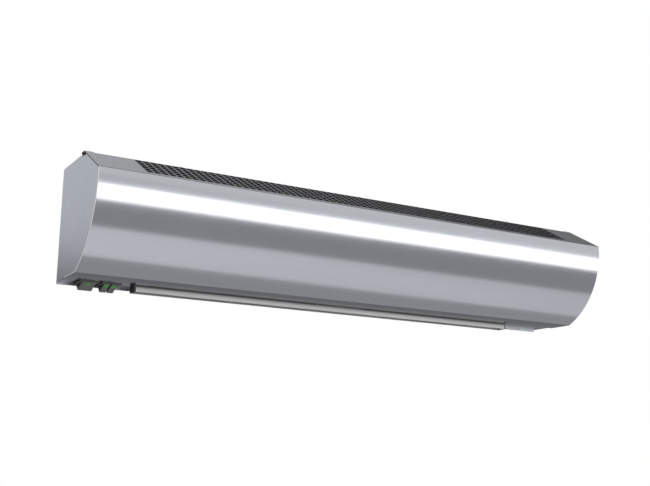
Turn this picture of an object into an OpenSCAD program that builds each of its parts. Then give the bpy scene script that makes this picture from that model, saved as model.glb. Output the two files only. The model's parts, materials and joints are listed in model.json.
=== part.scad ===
// Wall-mounted air curtain: sheet-steel casing with a cross-flow fan, a finned heater and three rockers.
// Lengths in millimetres. X runs along the casing, the front faces -Y and the wall lies at y = 0.
// Heights are measured from the underside; every piece is then lowered so that z = 0 is the wall fixing.

/* [Casing] */
// Overall length of the casing
body_len = 805; // [600:1:1100]
// Height of the casing
body_h = 150; // [130:0.5:175]
// Depth from the wall to the foremost line of the curved front
body_depth = 154; // [135:0.5:175]
// Depth of the apex between top and intake slope, as a share of the casing's depth
apex_share = 0.6058; // [0.57:0.0001:0.64]
// Height of the shoulder between slope and curved front, as a share of the casing's height
shoulder_share = 0.7713; // [0.75:0.0001:0.8]
// Outer radius of the curved front, as a share of the casing's height
front_r_share = 0.8053; // [0.79:0.0001:0.84]
// Height of the curved front's centre line, as a share of the casing's height
front_axis_share = 0.7367; // [0.71:0.0001:0.745]
// Sheet thickness of cover, grille, top, bottom and back
sheet = 1.2; // [0.8:0.1:1.5]
// Sheet thickness of the end plates and fan side plates
end_sheet = 1.5; // [1:0.1:2]
// How far the end plates stand inside the ends of the cover
end_inset = 2; // [1:0.1:4]
// Distance from the wall to the rear edge of the cover's bottom flap
flap_depth = 41; // [40:0.1:44]
// Clearance between pieces that slide or fit into one another
fit = 0.1; // [0.05:0.05:0.2]

/* [Wall plate] */
// Sheet thickness of the wall plate
wall_sheet = 1.5; // [1:0.1:2]
// How far the wall plate hangs below the underside
wall_drop = 1.8; // [0:0.1:4]
// Distance from each end of the casing to the wall screws
wall_edge_x = 162.5; // [135:0.5:190]
// Distance from the top and from the underside to the wall screws
wall_edge_z = 35; // [30:0.5:40]
// Diameter of the wall screw holes
wall_hole_d = 6.5; // [4:0.1:8]
// Width of each hanging hook, as a share of the room between a wall screw and the outlet's end
hook_share = 0.6; // [0.4:0.01:0.65]
// Height of the upright part of each hook
hook_rise = 8; // [4:0.5:9]

/* [Intake grille] */
// Side of each square intake hole
hole_w = 8.6; // [5:0.1:8.8]
// Distance between neighbouring intake holes, both ways
hole_pitch = 10; // [9.6:0.1:10.4]
// Least width without holes at each end of the grille
hole_margin = 60; // [40:1:90]
// Distance from the apex to the first row of holes
first_row = 6; // [5.5:0.1:8]
// Least height without holes above the grille's lower edge, along the slope
last_row_gap = 12; // [10:0.5:16]

/* [Outlet] */
// Length of the bay between each end of the casing and the outlet
bay_len = 95.5; // [84:0.5:110]
// Distance from the wall to the front face of the outlet's front bar
outlet_front = 36.5; // [35:0.1:38]
// Depth of the outlet over both bars
outlet_depth = 17; // [16:0.1:18]
// Thickness of the outlet bars
bar_t = 1.5; // [1:0.1:2]
// How far the outlet hangs below the underside
outlet_drop = 8; // [5:0.1:10]
// Width of the tab that bridges the dark gap in front of the outlet
tab_w = 74; // [40:1:90]

/* [Fan] */
// Outer radius of the cross-flow impeller
fan_r = 33; // [30:0.5:34]
// Gap between each end of the impeller and the outlet's end
fan_gap = 7; // [6:0.1:8]
// Distance from the wall to the fan axis
fan_depth = 66; // [64:0.5:68]
// Height of the fan axis, as a share of the casing's height
fan_share = 0.6133; // [0.6:0.0001:0.63]
// Blades round the impeller
blade_count = 24; // [12:1:28]
// Thickness of each blade
blade_t = 0.8; // [0.6:0.1:1]
// Radial width of each blade
blade_w = 7; // [5:0.5:8]
// Compartments along the impeller
fan_bays = 5; // [3:1:6]
// Radius of the shaft at both ends
shaft_r = 4; // [3:0.5:4.5]
// Running clearance of the shaft in its bushes
shaft_play = 0.05; // [0.02:0.01:0.08]

/* [Motor] */
// Outer radius of the motor
motor_r = 32; // [28:0.5:34]
// Length of the stator stack
stack_len = 24; // [18:1:28]
// Length of each motor bell
bell_len = 14; // [12:0.5:16]

/* [Heater] */
// Outer radius of the heater fins
fin_r = 6.5; // [5.5:0.1:6.8]
// Radius of the heater rod
rod_r = 4; // [3:0.1:4.5]
// Distance between heater fins
fin_pitch = 8; // [6:0.5:20]
// Thickness of each heater fin
fin_t = 1; // [0.6:0.1:1.5]
// Height of the lower heater rod
rod_h = 32; // [31.5:0.5:34]
// Height of the upper heater rod above the lower one
rod_step = 18; // [15:0.5:20]

/* [Switches] */
// Size of each switch bezel across, along the casing
bezel_w = 25.4; // [24:0.1:26]
// Size of each switch bezel from front to back
bezel_l = 31; // [30:0.1:32]
// Thickness of the bezel below the bottom panel
bezel_t = 2.5; // [2:0.1:3]
// Distance between the centres of the two switches
switch_pitch = 28.5; // [27.5:0.1:30]
// Distance from the left end of the casing to the first switch centre
switch_x = 34.7; // [32:0.1:37]
// Distance from the wall to the middle of the switches
switch_depth = 21.5; // [21:0.1:22.5]
// Half length of each rocker's face
rocker_half = 10.7; // [10:0.1:10.9]
// Tilt of each rocker either side of its middle
rocker_tilt = 22; // [15:0.5:22.5]
// Width of the pocket that holds the rockers
pocket_w = 18.4; // [17:0.1:20]
// Diameter of each green lens
lens_d = 5.4; // [4:0.1:6]

/* [Hidden] */
$fn = 48;
// Overrun of every cut past the face it cuts
over = 1;
// Share that halves a size
half_share = 0.5;

// Height of the wall fixing above the underside, and the distances between the wall screws
mount_h = body_h * half_share;
wall_pitch_x = body_len - 2 * wall_edge_x;
wall_pitch_z = body_h - 2 * wall_edge_z;
half_len = body_len / 2;
outlet_len = body_len - 2 * bay_len;
outlet_half = outlet_len / 2;
fan_len = outlet_len - 2 * fan_gap;

// Sizes that follow the height and depth of the casing
apex_depth = body_depth * apex_share;
shoulder_h = body_h * shoulder_share;
front_r = body_h * front_r_share;
front_axis_h = body_h * front_axis_share;
fan_h = body_h * fan_share;

// Planes in depth, counted from the wall
back_y = -wall_sheet;
back_face_y = back_y - sheet;
outlet_y = -outlet_front;
outlet_back_y = outlet_y + outlet_depth;
flap_y = -flap_depth;
apex_y = -apex_depth;
front_axis_y = front_r - body_depth;
// Front line of the flat underside
under_y = front_axis_y - sqrt(pow(front_r, 2) - pow(front_axis_h, 2));
// Shoulder line on the curved front
shoulder_y = front_axis_y - sqrt(pow(front_r, 2) - pow(shoulder_h - front_axis_h, 2));
slope_angle = atan2(body_h - shoulder_h, apex_y - shoulder_y);
slope_len = norm([body_h - shoulder_h, apex_y - shoulder_y]);

// Heights of the sheets
bottom_z = sheet;
floor_z = bottom_z + sheet;
top_z = body_h - sheet;
ceiling_z = top_z - sheet;

// Width between the end plates, and the length of the panels that fit there
end_x = half_len - end_inset - end_sheet;
panel_len = 2 * (end_x - fit);

// Grille edges
seam = 1.5;
grille_lip = 12;
grille_flange = 12;
hem_w = 12;
hem_rise = 1.4;
hem_l = 11;
hole_columns = floor((body_len - 2 * hole_margin) / hole_pitch);
hole_rows = 1 + floor((slope_len - first_row - last_row_gap) / hole_pitch);

// End plate notch below the hems, and the flange at its back
notch_l = 13.5;
notch_d = 3.4;
end_flange = 14;
end_flange_gap = 12;

// Bottom panel, with its front edge behind the front line of the underside
panel_gap = 12;
panel_lip = 13;
panel_seam = 0.2;
panel_y = under_y + panel_gap;

// Hooks and slots
hook_above = 12;
hook_h = mount_h + wall_pitch_z / 2 + hook_above;
hook_room = outlet_half - wall_pitch_x / 2;
hook_w = hook_share * hook_room;
hook_x = outlet_half - hook_room * half_share;
slot_play = 4;
slot_rise = hook_rise + slot_play;
window = [16, 26];
window_top = 7;

// Outlet
bar_top = 14;
outlet_clear_front = 0.4;
cap_t = 2.2;

// Fan duct
guide_gap = 4;
guide_r = 42.5;
guide_y = outlet_back_y - guide_r;
guide_h = fan_h - guide_gap;
guide_start = 120;
tongue_knee_share = 0.3067;
tongue_nose_angle = 26;
tongue_nose_gap = 4.1;
tongue_belly_angle = -15;
tongue_belly_gap = 8;
tongue_lip_angle = -42;
tongue_lip_gap = 12;
side_gap = 4;
side_step_h = 16;
side_flange = 12;
side_flange_gap = 12;

// Impeller
disc_t = 2;
ring_t = 1;
hub_r = 12;
blade_sweep = 16;
hub_len = 10;
hub_out = 6;
stub_out = 24;
shaft_in = 3;
shaft_end = 1;

// Motor
motor_gap = 5;
bell_wall = 2;
boss_r = 9;
boss_l = 2;
boss_in = 3;
rotor_r = 18;
air_gap = 0.5;
winding_in = 20;
winding_out = 28;
winding_l = 8;
rubber_t = 2;
band_t = 1.5;
band_w = 14;
band_gap = 3;
arm_w = 12;
arm_shares = [0, 0.5, 0.75];
foot_screw_share = 0.67;
foot_room_share = 0.65;
foot_l = foot_room_share * (ceiling_z - fan_h - motor_r - rubber_t);
shaft_hole_play = 2;

// Bearing
bush_r = 8;
bush_l = 12;
bush_gap = 1.5;
rubber_r = 13;
cup_t = 1.5;
cup_l = 12.5;
bearing_flange = [52, 36];
bearing_hole_shares = [0.4, 0.36];

// Screws
screw_r = 1.5;
screw_play = 0.1;
head_r = 3;
head_h = 2;
slot_w = 0.8;
slot_deep = 1;
flange_screw_shares = [0.2, 0.8];

// Heater
fin_end = 16;
rod_out = 6;
pin_r = 1.8;
pin_out = 12;
bush_wall = 3;
bush_flange = 2;
rod_play = 0.05;

// Thermal cut-out
cutout_r = 8;
cutout_h = 8;
cutout_plate = [26, 12];
cutout_rise = 22;
cutout_hole_share = 0.42;
cutout_screw_r = 1.2;
blade_tab = [6.3, 0.8, 8];

// Terminal block, between the end plate's flange and the side plate's flange
block_inset = 20;
block_gap = 15.5;
block_len = bay_len - block_inset - block_gap;
block_d = 18;
block_h = 20;
block_z = 56;
block_poles = 5;
pole_r = 2.6;
clamp_l = 12;
clamp_wall = 0.7;
block_screw_r = 1.4;
block_screw_l = 7;

// Cable grommet
grommet_share = 0.55;
grommet_x = block_inset + grommet_share * block_len;
grommet_z = 104;
grommet_r = 6;
grommet_wall = 2.5;
grommet_lip = 2.5;
grommet_lip_t = 2;

// Capacitor and its clip on the back panel
capacitor_inset = 52.5;
capacitor_x = half_len - capacitor_inset;
capacitor_z = 26;
capacitor_r = 10;
capacitor_l = 48;
capacitor_pin_x = 4;
capacitor_clip_t = 1;
capacitor_clip_l = 12;
capacitor_clip_foot = 24;
clip_screw_x = 18;

// Cord clamp and earth screw on the back panel
clamp_z = 88;
clamp_size = [34, 5, 9];
clamp_hole_share = 0.35;
clamp_notch_r = 4;
earth_gap = 23.5;
earth_x = bay_len - earth_gap;
earth_z = 94;
earth_washer_r = 4.5;

// Leads
lead_r = 1.1;
lead_opening_size = [10, 8];
lead_rise = 13;
lead_z = fan_h + lead_rise;
lead_step = 2.6;
lead_gap = 5;
lead_low = 42;
lead_top = 84;

// Switches
switch_body_h = 20;
switch_wall = 1.1;
pocket_half = 14;
pocket_l = 2 * pocket_half;
pocket_roof = 2;
pivot_h = 1.3;
pivot_r = 1.2;
pivot_play = 0.05;
rocker_side = 0.3;
rocker_gap = 2;
rocker_back = 3.5;
rocker_dish = 4;
lens_t = 0.5;
lens_share = -0.4;
lens_height_share = 0.7;
cutout_play = 0.2;
tab_rows = 3;
tab_share = 0.75;

// Switch places
bezel_face_z = bottom_z - bezel_t;
pivot_z = bottom_z + pivot_h;
rocker_drop = pivot_z - bezel_face_z;
rocker_edge = (rocker_drop + rocker_half * sin(rocker_tilt)) / cos(rocker_tilt);
rocker_r = norm([rocker_half, rocker_edge]);
switch_y = -switch_depth;
power_x = switch_x - half_len;
heat_x = power_x + switch_pitch;
wide_rocker = pocket_w - 2 * rocker_side;
slim_rocker = (wide_rocker - rocker_gap) / 2;
slim_offset = (slim_rocker + rocker_gap) / 2;

// Lowers a piece so that z = 0 lies at the wall fixing
module at_mount() {
    translate([0, 0, -mount_h])
        children();
}

// Extrudes an outline drawn in depth and height, centred along the casing
module along_x(length) {
    translate([-length / 2, 0, 0])
        from_x(length)
            children();
}

// Extrudes an outline drawn in depth and height from x = 0
module from_x(length) {
    rotate([90, 0, 90])
        linear_extrude(height = length)
            children();
}

// A round bar along X that starts at x
module bar_x(x, length, r, y, z) {
    translate([x, y, z])
        rotate([0, 90, 0])
            cylinder(h = length, r = r);
}

// A round bar along the fan axis that starts at x
module fan_bar(x, length, r) {
    bar_x(x, length, r, -fan_depth, fan_h);
}

// A flat strip between two points of an outline, with round ends
module strip(from, to, t) {
    run = to - from;
    translate(from) {
        rotate(atan2(run.y, run.x))
            translate([0, -t / 2])
                square([norm(run), t]);
        circle(d = t);
    }
    translate(to)
        circle(d = t);
}

// A point on the intake slope: s down from the apex, t inwards from the outer face
function slope_point(s, t) = [
    apex_y - s * cos(slope_angle) + t * sin(slope_angle),
    body_h - s * sin(slope_angle) - t * cos(slope_angle)];

// A point round the fan: angle from straight down towards the wall, gap outside the impeller
function fan_point(angle, gap) = [
    -fan_depth + (fan_r + gap) * sin(angle),
    fan_h - (fan_r + gap) * cos(angle)];

// A pan-head screw along +Z with its head's underside at z = 0 and its shank going down
module screw(length, r = screw_r) {
    difference() {
        union() {
            cylinder(h = head_h, r = head_r * r / screw_r);
            translate([0, 0, -length])
                cylinder(h = length, r = r);
        }
        translate([-head_r * r / screw_r, -slot_w / 2, head_h - slot_deep])
            cube([2 * head_r * r / screw_r, slot_w, slot_deep + over]);
    }
}

// Solid disc of the curved front, for a given distance inside its face
module front_disc(inside) {
    translate([front_axis_y, front_axis_h])
        circle(r = front_r - inside, $fn = 360);
}

module wall_plate() {
    plate_half = half_len - end_inset + fit;
    color("silver")
        at_mount() {
            difference() {
                translate([-plate_half, -wall_sheet, -wall_drop])
                    cube([2 * plate_half, wall_sheet, top_z + wall_drop]);
                wall_holes();
                translate([grommet_x - half_len, over, grommet_z])
                    rotate([90, 0, 0])
                        cylinder(h = wall_sheet + 2 * over, r = grommet_r + grommet_wall + grommet_lip + fit);
            }
            for (side = [-1, 0, 1])
                translate([side * hook_x - hook_w / 2, 0, hook_h])
                    hook();
        }
}

// Holes for the four wall screws
module wall_holes() {
    for (sx = [-1, 1])
        for (sz = [-1, 1])
            translate([sx * wall_pitch_x / 2, over, mount_h + sz * wall_pitch_z / 2])
                rotate([90, 0, 0])
                    cylinder(h = wall_sheet + 2 * over, d = wall_hole_d);
}

// One hook: a shelf through the back panel and an upright in front of it
module hook() {
    reach = sheet + wall_sheet + 3 * fit;
    translate([0, back_y - reach, 0])
        cube([hook_w, reach + wall_sheet * half_share, wall_sheet]);
    translate([0, back_y - reach, 0])
        cube([hook_w, wall_sheet, hook_rise]);
}

module back_panel() {
    color("lightsteelblue")
        at_mount()
            difference() {
                translate([-panel_len / 2, back_face_y, bottom_z])
                    cube([panel_len, sheet, top_z - sheet - bottom_z]);
                for (side = [-1, 0, 1])
                    translate([side * hook_x, back_y - sheet / 2, hook_h + wall_sheet - slot_rise])
                        centred_box([hook_w + 2 * over, sheet + 2 * over, slot_rise], 0);
                for (sx = [-1, 1])
                    for (sz = [-1, 1])
                        translate([
                            sx * wall_pitch_x / 2 - window.x / 2,
                            back_face_y - over,
                            mount_h + sz * wall_pitch_z / 2 + window_top - window.y])
                            cube([window.x, sheet + 2 * over, window.y]);
                translate([grommet_x - half_len, back_y + over, grommet_z])
                    rotate([90, 0, 0])
                        cylinder(h = sheet + 2 * over, r = grommet_r + grommet_wall);
                panel_screw_places()
                    cylinder(h = 2 * (sheet + end_sheet + over), r = screw_r, center = true);
                block_places()
                    cylinder(h = 2 * (sheet + over), r = screw_r, center = true);
                clip_place()
                    cylinder(h = 2 * (sheet + over), r = screw_r, center = true);
                clamp_places()
                    cylinder(h = 2 * (sheet + over), r = screw_r, center = true);
                earth_place()
                    cylinder(h = 2 * (sheet + over), r = screw_r, center = true);
            }
}

module top_panel() {
    color("silver")
        at_mount()
            difference() {
                translate([-panel_len / 2, apex_y + seam + sheet, ceiling_z])
                    cube([panel_len, -apex_y - seam - sheet + back_y, sheet]);
                top_screw_places()
                    cylinder(h = 2 * (2 * sheet + over), r = screw_r, center = true);
            }
}

// Places of the screws that hold the grille's rear flange to the top panel
module top_screw_places() {
    for (side = [-1, 0, 1])
        translate([side * hook_x, apex_y + grille_flange * half_share, body_h])
            children();
}

module bottom_panel() {
    color("silver")
        at_mount()
            difference() {
                union() {
                    translate([-panel_len / 2, panel_y, bottom_z])
                        cube([panel_len, back_face_y - panel_y, sheet]);
                    translate([-panel_len / 2, panel_y, bottom_z])
                        cube([panel_len, sheet, panel_lip]);
                }
                outlet_cut();
                panel_seams();
                for (x = [power_x, heat_x])
                    translate([x, switch_y, bottom_z])
                        centred_box(switch_box() + [cutout_play, cutout_play, sheet + 2 * over], -over);
            }
}

// Outer size of a switch housing above the bottom panel
function switch_box() = [pocket_w + 2 * switch_wall, pocket_l + switch_wall, 0];

// Seams at both ends of the outlet, where the four sheets of the bottom panel butt
module panel_seams() {
    for (side = [-1, 1])
        translate([side * (outlet_half + fit - panel_seam / 2), panel_y - over, bottom_z - over])
            translate([-panel_seam / 2, 0, 0])
                cube([panel_seam, back_face_y - panel_y + 2 * over, panel_lip + 2 * over]);
}

// A box centred in X and Y that starts at height z
module centred_box(size, z) {
    translate([-size.x / 2, -size.y / 2, z])
        cube(size);
}

// The long opening for the outlet, kept closed at the middle tab
module outlet_cut() {
    cut_half = outlet_half + fit;
    lead = outlet_y - flap_y - outlet_clear_front;
    translate([-cut_half, outlet_y - fit, -over])
        cube([2 * cut_half, outlet_depth + 2 * fit, floor_z + 2 * over]);
    for (side = [-1, 1])
        translate([side > 0 ? tab_w / 2 : -cut_half, outlet_y - lead, -over])
            cube([cut_half - tab_w / 2, lead + over, floor_z + 2 * over]);
}

// Outline of the end plates in depth and height
module end_outline() {
    inside = sheet + fit;
    intersection() {
        front_disc(inside);
        polygon([
            [back_y, bottom_z],
            [back_y, body_h],
            [apex_y + notch_l, body_h],
            [apex_y + notch_l, body_h - notch_d],
            slope_point((notch_d - sheet) / sin(slope_angle), inside),
            slope_point(slope_len + over, inside),
            [-body_depth - over, shoulder_h - over],
            [-body_depth - over, bottom_z]]);
    }
}

// One end plate, its outer face at x = 0 and its flange towards +X
module end_plate() {
    from_x(end_sheet)
        end_outline();
    difference() {
        translate([0, back_face_y - end_sheet, floor_z + end_flange_gap])
            cube([end_flange, end_sheet, ceiling_z - floor_z - 2 * end_flange_gap]);
        end_screw_heights()
            cylinder(h = 2 * (end_sheet + sheet), r = screw_r + screw_play, center = true);
    }
}

// Screw places on an end plate's flange, counted from its outer face
module end_screw_heights() {
    x = (end_flange + end_sheet) * half_share;
    for (share = flange_screw_shares)
        translate([x, back_face_y - end_sheet, floor_z + share * (ceiling_z - floor_z)])
            rotate([90, 0, 0])
                children();
}

// Screw places on a side plate's flange, counted from the side plate's inner face
module side_screw_heights() {
    x = end_sheet + side_flange * half_share;
    for (share = flange_screw_shares)
        translate([x, back_face_y - end_sheet, floor_z + share * (ceiling_z - floor_z)])
            rotate([90, 0, 0])
                children();
}

// All screw places on the back panel
module panel_screw_places() {
    for (side = [0, 1])
        mirror([side, 0, 0]) {
            translate([end_inset - half_len, 0, 0])
                end_screw_heights()
                    children();
            translate([-outlet_half, 0, 0])
                mirror([1, 0, 0])
                    side_screw_heights()
                        children();
        }
}

module end_plate_left() {
    color("lightslategray")
        at_mount()
            translate([end_inset - half_len, 0, 0])
                end_plate();
}

module end_plate_right() {
    color("lightslategray")
        at_mount()
            mirror([1, 0, 0])
                translate([end_inset - half_len, 0, 0])
                    end_plate();
}

module front_cover() {
    color("gainsboro")
        at_mount()
            union() {
                along_x(body_len)
                    cover_outline();
                translate([-tab_w / 2, flap_y - over, 0])
                    cube([tab_w, over + outlet_y - flap_y - fit, sheet]);
            }
}

// Outline of the cover: the curved front and the flat flap under it
module cover_outline() {
    difference() {
        intersection() {
            front_disc(0);
            translate([-body_depth - over, 0])
                square([body_depth + over + front_axis_y, shoulder_h]);
        }
        front_disc(sheet);
        translate([under_y, sheet])
            square([-under_y, shoulder_h]);
    }
    translate([under_y, 0])
        square([flap_y - under_y, sheet]);
}

module intake_grille() {
    edge = slope_point(slope_len - seam, sheet);
    color("gray")
        at_mount()
            difference() {
                union() {
                    along_x(body_len)
                        grille_outline();
                    along_x(panel_len)
                        translate([edge.x, edge.y - grille_lip])
                            square([sheet, grille_lip + sheet * half_share]);
                    for (side = [-1, 1])
                        translate([side * (half_len - hem_w / 2), apex_y + hem_l / 2 + sheet, body_h])
                            centred_box([hem_w, hem_l, hem_rise], -fit);
                }
                intake_holes();
                top_screw_places()
                    cylinder(h = 2 * (sheet + over), r = screw_r + screw_play, center = true);
            }
}

// Outline of the grille: the slope and the flange over the top panel
module grille_outline() {
    translate([apex_y, body_h])
        rotate(180 + slope_angle)
            square([slope_len - seam, sheet]);
    translate([apex_y, top_z])
        square([grille_flange, sheet]);
}

// The straight grid of square intake holes
module intake_holes() {
    translate([0, apex_y, body_h])
        rotate([slope_angle, 0, 0])
            for (column = [0 : hole_columns - 1])
                for (row = [0 : hole_rows - 1])
                    translate([
                        (column - (hole_columns - 1) / 2) * hole_pitch,
                        -first_row - row * hole_pitch,
                        -sheet - over])
                        centred_box([hole_w, hole_w, sheet + 2 * over], 0);
}

module outlet_front_bar() {
    color("lightgray")
        at_mount()
            translate([-outlet_half, outlet_y, -outlet_drop])
                cube([outlet_len, bar_t, outlet_drop + bar_top]);
}

module outlet_rear_bar() {
    color("dimgray")
        at_mount()
            translate([-outlet_half, outlet_back_y - bar_t, -outlet_drop])
                cube([outlet_len, bar_t, outlet_drop + bar_top]);
}

// One outlet end cap, its inner face at x = 0
module outlet_cap() {
    translate([-cap_t, outlet_y, -outlet_drop])
        cube([cap_t, outlet_depth, outlet_drop + bottom_z]);
}

module outlet_cap_left() {
    color("black")
        at_mount()
            translate([-outlet_half, 0, 0])
                outlet_cap();
}

module outlet_cap_right() {
    color("black")
        at_mount()
            translate([outlet_half, 0, 0])
                mirror([1, 0, 0])
                    outlet_cap();
}

module rear_guide() {
    reach = 2 * guide_r;
    color("darkgray")
        at_mount()
            along_x(outlet_len) {
                difference() {
                    intersection() {
                        translate([guide_y, guide_h])
                            circle(r = guide_r + sheet, $fn = 96);
                        translate([guide_y, guide_h])
                            polygon([
                                [0, 0],
                                [reach, 0],
                                [reach, reach],
                                [0, reach],
                                [reach * cos(guide_start), reach * sin(guide_start)]]);
                    }
                    translate([guide_y, guide_h])
                        circle(r = guide_r, $fn = 96);
                }
                translate([outlet_back_y, floor_z])
                    square([sheet, guide_h - floor_z]);
            }
}

module vortex_tongue() {
    foot = [outlet_y - sheet / 2, floor_z + fit + sheet / 2];
    knee = [foot.x, body_h * tongue_knee_share];
    nose = fan_point(tongue_nose_angle, tongue_nose_gap);
    belly = fan_point(tongue_belly_angle, tongue_belly_gap);
    lip = fan_point(tongue_lip_angle, tongue_lip_gap);
    color("darkgray")
        at_mount()
            along_x(outlet_len) {
                strip(foot, knee, sheet);
                strip(knee, nose, sheet);
                strip(nose, belly, sheet);
                strip(belly, lip, sheet);
            }
}

// Outline of a fan side plate: under the slope, inside the curved front and behind the bottom panel's lip
module side_outline() {
    reach = fan_depth + fan_r;
    step_y = panel_y + side_gap;
    high = slope_point(-slope_len, side_gap);
    low = slope_point(slope_len, side_gap);
    intersection() {
        front_disc(side_gap);
        polygon([[back_y, 0], [back_y, high.y], high, low, [low.x, 0]]);
        polygon([
            [back_face_y, floor_z],
            [back_face_y, ceiling_z],
            [-reach, ceiling_z],
            [-reach, side_step_h],
            [step_y, side_step_h],
            [step_y, floor_z]]);
    }
}

// One fan side plate, its inner face at x = 0 and its flange towards +X
module side_plate(bore) {
    difference() {
        union() {
            from_x(end_sheet)
                side_outline();
            translate([0, back_face_y - end_sheet, floor_z + side_flange_gap])
                cube([end_sheet + side_flange, end_sheet, ceiling_z - floor_z - 2 * side_flange_gap]);
        }
        fan_bar(-over, end_sheet + 2 * over, bore);
        for (step = [0, 1])
            bar_x(-over, end_sheet + 2 * over, rod_r + bush_wall, rod_y(), rod_h + step * rod_step);
        side_screw_heights()
            cylinder(h = 2 * (end_sheet + sheet), r = screw_r + screw_play, center = true);
    }
}

// Depth of the heater rods, in the middle of the outlet duct
function rod_y() = outlet_y + outlet_depth * half_share;

module side_plate_left() {
    color("lightgray")
        at_mount()
            translate([-outlet_half, 0, 0])
                mirror([1, 0, 0])
                    difference() {
                        side_plate(shaft_r + shaft_hole_play);
                        bearing_screw_places()
                            cylinder(h = 2 * (over + cup_t + end_sheet), r = screw_r, center = true);
                        cutout_screw_places()
                            cylinder(h = 2 * (over + sheet + end_sheet), r = cutout_screw_r, center = true);
                        lead_opening();
                    }
}

module side_plate_right() {
    color("lightgray")
        at_mount()
            translate([outlet_half, 0, 0])
                difference() {
                    side_plate(boss_r + shaft_hole_play);
                    motor_screw_places()
                        cylinder(h = 2 * (over + 2 * end_sheet), r = screw_r, center = true);
                    lead_opening();
                }
}

// A point of a blade's outline: share of its width, side of its centre line
function blade_point(share, side) =
    let (r = fan_r - ring_t * half_share - blade_w * (1 - share), a = blade_sweep * share * share)
    [r * cos(a) - side * blade_t / 2 * sin(a), r * sin(a) + side * blade_t / 2 * cos(a)];

module impeller() {
    bay = (fan_len - disc_t) / fan_bays;
    ring_in = fan_r - blade_w - disc_t;
    blade_shares = [0, 0.5, 1];
    outline = [
        for (share = blade_shares) blade_point(share, -1),
        for (i = [len(blade_shares) - 1 : -1 : 0]) blade_point(blade_shares[i], 1)];
    color("dimgray")
        at_mount()
            difference() {
                union() {
                    translate([-fan_len / 2, -fan_depth, fan_h])
                        rotate([0, 90, 0])
                            linear_extrude(height = fan_len)
                                for (i = [0 : blade_count - 1])
                                    rotate(i * 360 / blade_count)
                                        polygon(outline);
                    for (i = [0, fan_bays])
                        fan_bar(-fan_len / 2 + i * bay, disc_t, fan_r);
                    for (i = [1 : fan_bays - 1])
                        difference() {
                            fan_bar(-fan_len / 2 + i * bay, disc_t, fan_r);
                            fan_bar(i * bay - fan_len / 2 - over, disc_t + 2 * over, ring_in);
                        }
                }
                fan_bar(-fan_len / 2 - over, fan_len + 2 * over, hub_r);
            }
}

module idle_hub() {
    color("black")
        at_mount()
            difference() {
                fan_bar(-fan_len / 2 - hub_out + disc_t, hub_len, hub_r);
                fan_bar(-fan_len / 2 - hub_out + disc_t - over, hub_len + 2 * over, shaft_r);
            }
}

module axle_stub() {
    color("silver")
        at_mount()
            fan_bar(-fan_len / 2 - stub_out, stub_out + hub_len - hub_out + disc_t, shaft_r);
}

module drive_hub() {
    color("black")
        at_mount()
            difference() {
                fan_bar(fan_len / 2 + hub_out - disc_t - hub_len, hub_len, hub_r);
                fan_bar(fan_len / 2 + hub_out - disc_t - hub_len - over, hub_len + 2 * over, shaft_r);
            }
}

// Start of the motor along X, and of its stator
motor_x = outlet_half + end_sheet + motor_gap;
stator_x = motor_x + bell_len;
motor_len = 2 * bell_len + stack_len;

module motor_shaft() {
    start = fan_len / 2 - shaft_in;
    color("silver")
        at_mount()
            fan_bar(start, motor_x + motor_len + boss_l + shaft_end - start, shaft_r);
}

module motor_rotor() {
    color("slategray")
        at_mount()
            difference() {
                fan_bar(stator_x, stack_len, rotor_r);
                fan_bar(stator_x - over, stack_len + 2 * over, shaft_r);
            }
}

module motor_stator() {
    color("gray")
        at_mount()
            difference() {
                fan_bar(stator_x, stack_len, motor_r);
                fan_bar(stator_x - over, stack_len + 2 * over, rotor_r + air_gap);
            }
}

module motor_windings() {
    color("peru")
        at_mount()
            for (x = [stator_x - winding_l, stator_x + stack_len])
                difference() {
                    fan_bar(x, winding_l, winding_out);
                    fan_bar(x - over, winding_l + 2 * over, winding_in);
                }
}

// One motor bell with its closed end at x = 0, opening towards +X
module motor_bell() {
    difference() {
        union() {
            fan_bar(0, bell_len, motor_r);
            fan_bar(-boss_l, boss_l + over, boss_r);
        }
        difference() {
            fan_bar(bell_wall, bell_len, motor_r - bell_wall);
            fan_bar(0, bell_wall + boss_in, boss_r);
        }
        fan_bar(-boss_l - over, bell_len + boss_l + 2 * over, shaft_r + shaft_play);
    }
}

module motor_bell_inner() {
    color("darkgray")
        at_mount()
            translate([motor_x, 0, 0])
                motor_bell();
}

module motor_bell_outer() {
    color("darkgray")
        at_mount()
            translate([motor_x + motor_len, 0, 0])
                mirror([1, 0, 0])
                    motor_bell();
}

module motor_rubber() {
    color("black")
        at_mount()
            difference() {
                fan_bar(motor_x + band_gap, band_w, motor_r + rubber_t);
                fan_bar(motor_x + band_gap - over, band_w + 2 * over, motor_r);
            }
}

module motor_bracket() {
    band_in = motor_r + rubber_t;
    base = outlet_half + end_sheet;
    color("silver")
        at_mount()
            difference() {
                union() {
                    difference() {
                        fan_bar(motor_x + band_gap, band_w, band_in + band_t);
                        fan_bar(motor_x + band_gap - over, band_w + 2 * over, band_in);
                    }
                    for (share = arm_shares)
                        motor_arm(share * 360, base, band_in);
                }
                translate([outlet_half, 0, 0])
                    motor_screw_places()
                        cylinder(h = 2 * (over + 2 * end_sheet), r = screw_r + screw_play, center = true);
            }
}

// One arm of the motor bracket with its foot on the side plate
module motor_arm(angle, base, band_in) {
    translate([base, -fan_depth, fan_h])
        rotate([angle, 0, 0])
            translate([0, -arm_w / 2, band_in + fit]) {
                cube([motor_gap + band_gap + band_w, arm_w, band_t]);
                cube([end_sheet, arm_w, foot_l]);
            }
}

// Screw places in the motor bracket's feet, counted from the side plate's inner face
module motor_screw_places() {
    for (share = arm_shares)
        translate([2 * end_sheet, -fan_depth, fan_h])
            rotate([share * 360, 0, 0])
                translate([0, 0, motor_r + rubber_t + foot_l * foot_screw_share])
                    rotate([0, 90, 0])
                        children();
}

// Start of the bearing along X, growing away from the fan
bearing_x = -outlet_half - end_sheet;

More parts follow.
